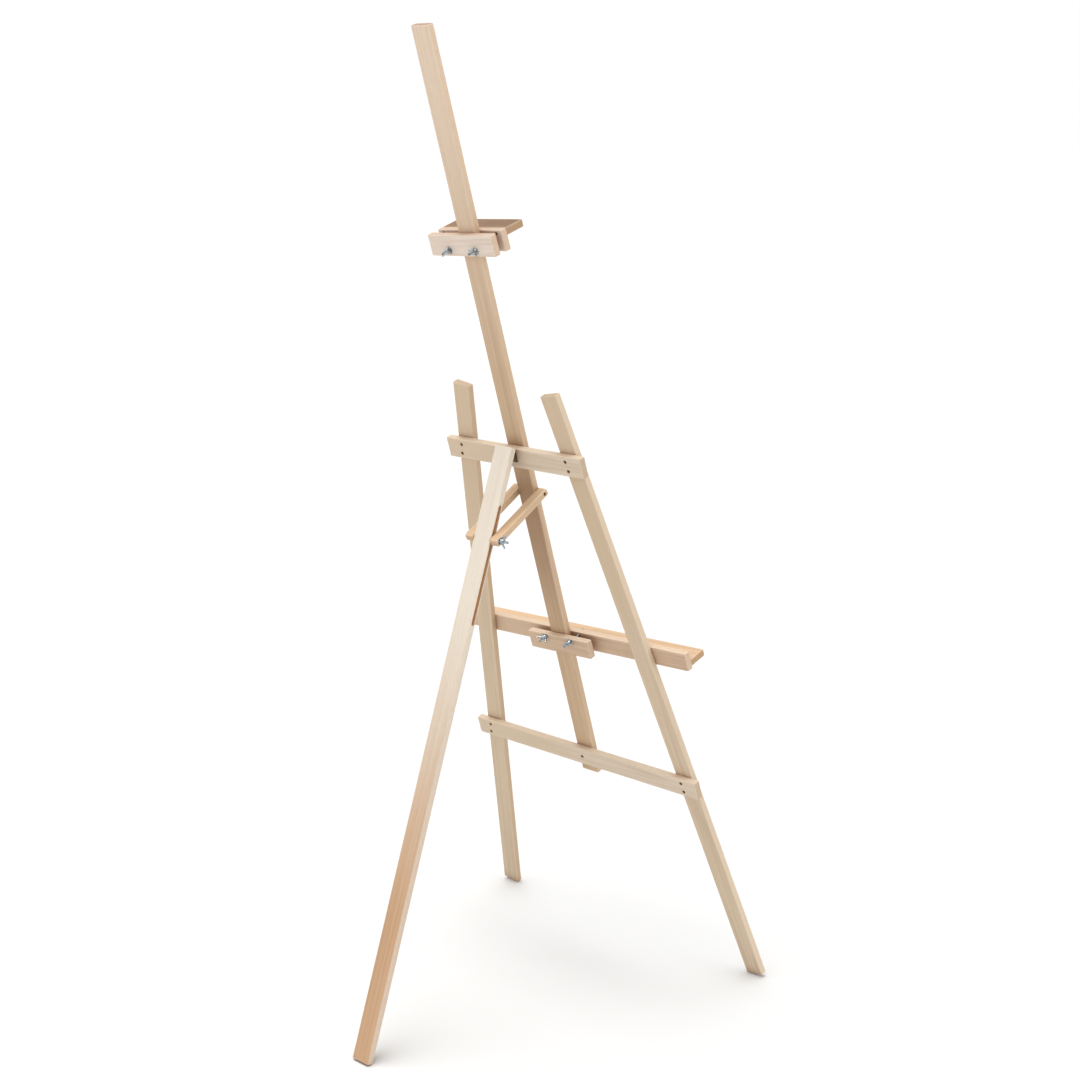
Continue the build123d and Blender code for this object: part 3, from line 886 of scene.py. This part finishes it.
strutSeat = strutBolt - sideways * easel["strutOuterFace"]
strutHead = strutBolt + sideways * easel["strutOuterFace"]
inZinc("strut_bolt_threaded", [placed(longBolt, "bolt", strutHead, sideways)], "struts", "strut_bolt")
inZinc("strut_washer_flat", [placed(flatMaster, "washer", strutSeat, -sideways)], "struts", "strut_washer")
fittedNut("strut_wing_nut", strutSeat, -sideways, "strut_nut")
removed(nutMaster, flatMaster, clampBolt, longBolt)
print("nuts, washers and bolts fitted")

# screws sit in their recesses: each solid of a screw node gives its place

screwSets = {
    "upper_crossbar_screws": {"body": "frame", "outward": outRear},
    "lower_crossbar_screws": {"body": "frame", "outward": outRear},
    "top_holder_screws": {"body": "top_holder", "outward": outRear},
    "strut_pivot_screws": {"body": "frame", "outward": None},
}
screwPlaces = {"spread": 0.008, "rimDepth": 0.00005, "firstTurn": 0.3, "nextTurn": 0.7}


def screwTops(node, outward):  # for each screw the middle of its head's top, and the way that it faces
    heads = []
    for vertex in nodes[node].data.vertices:
        way = outward or (sideways if vertex.co.x > 0 else -sideways)
        for head in heads:
            aside = (vertex.co - head["spots"][0]).cross(way).length
            if aside < screwPlaces["spread"] and way == head["way"]:
                head["spots"].append(vertex.co.copy())
                break
        else:
            heads.append({"way": way, "spots": [vertex.co.copy()]})
    tops = []
    for head in heads:
        way, spots = head["way"], head["spots"]
        highest = max(spot.dot(way) for spot in spots)
        low, high = extent([spot for spot in spots if spot.dot(way) > highest - screwPlaces["rimDepth"]])
        tops.append(((low + high) / 2, way))
    return tops


screwMaster = woodScrewMaster()
for node, screws in screwSets.items():
    copies = []
    for count, (top, way) in enumerate(screwTops(node, screws["outward"])):
        turn = Matrix.Rotation(screwPlaces["nextTurn"] * count + screwPlaces["firstTurn"], 3, way)
        copies.append(placed(screwMaster, "screw", top, way, turn @ way.orthogonal()))
    mounted(node + "_cross", copies, screws["body"], node, steel["screw"])
    print(node, len(copies))
removed(screwMaster)

# studio: pale floor, soft light from above and from one side, and a surround that is palest near the horizon

studio = {
    "floorSize": 120.0,
    "floorTones": ((216, 216, 215), (211, 211, 210)),
    "floorNoise": ((1.5, 1.5, 1.5), 2.0),
    "floorRoughness": 0.9,
    "floorSpread": 0.05,
    "floorBump": 0.0001,
    "horizon": 1.0,
    "zenith": 0.4,
    "climb": (0.2, 0.9),
    "lightDistance": 4,
    "lights": {
        "above": {"from": (0.1, 0.15, 0.95), "power": 2.9, "spread": 50},
        "side": {"from": (-0.82, -0.12, 0.55), "power": 0.5, "spread": 40},
    },
}

floor = started("floor", bpy.ops.mesh.primitive_plane_add, size=studio["floorSize"], location=(0, 0, 0))
floorFinish = Finish("floor_paper")
floorPlace = floorFinish.node("ShaderNodeTexCoord", output="Object")
floorCloud = floorFinish.noise(floorPlace, *studio["floorNoise"])
floorColor = floorFinish.mixed(floorCloud, *(screenColor(*tone) for tone in studio["floorTones"]))
floorRoughness = studio["floorRoughness"] + floorCloud * studio["floorSpread"]
dress(floor, floorFinish.finished(floorColor, floorRoughness, floorCloud, studio["floorBump"]))

world = bpy.data.worlds.new("surround")
bpy.context.scene.world = world
world.use_nodes = True
sky = Sheet(world.node_tree)
height = sky.split(sky.node("ShaderNodeTexCoord", output="Generated"))[2]
dimming = sky.ramp(height, *studio["climb"]) * (studio["horizon"] - studio["zenith"])
background = world.node_tree.nodes["Background"]
sky.feed(background.inputs["Color"], (1, 1, 1, 1))
sky.feed(background.inputs["Strength"], studio["horizon"] - dimming)

for name, light in studio["lights"].items():
    start = Vector(light["from"])
    turn = (-start).to_track_quat("-Z", "Y").to_euler()
    bpy.ops.object.light_add(type="SUN", location=start * studio["lightDistance"], rotation=turn)
    lamp = bpy.context.object
    lamp.name = name
    lamp.data.energy = light["power"]
    lamp.data.angle = math.radians(light["spread"])

# viewer: spot in metres, yaw and pitch in radians, lens and film width in millimetres

camera = {
    "spot": (-2.2081, 2.3347, 1.7042),
    "yaw": 0.736,
    "pitch": 0.237,
    "lens": 58.23,
    "filmWidth": 36,
    "farthest": 200,
}
bpy.ops.object.camera_add(
    location=camera["spot"], rotation=(math.pi / 2 - camera["pitch"], 0, math.pi + camera["yaw"])
)
viewer = bpy.context.object
viewer.data.lens = camera["lens"]
viewer.data.sensor_width = camera["filmWidth"]
viewer.data.clip_end = camera["farthest"]
bpy.context.scene.camera = viewer
bpy.context.scene.view_settings.view_transform = "Standard"
print("studio set")
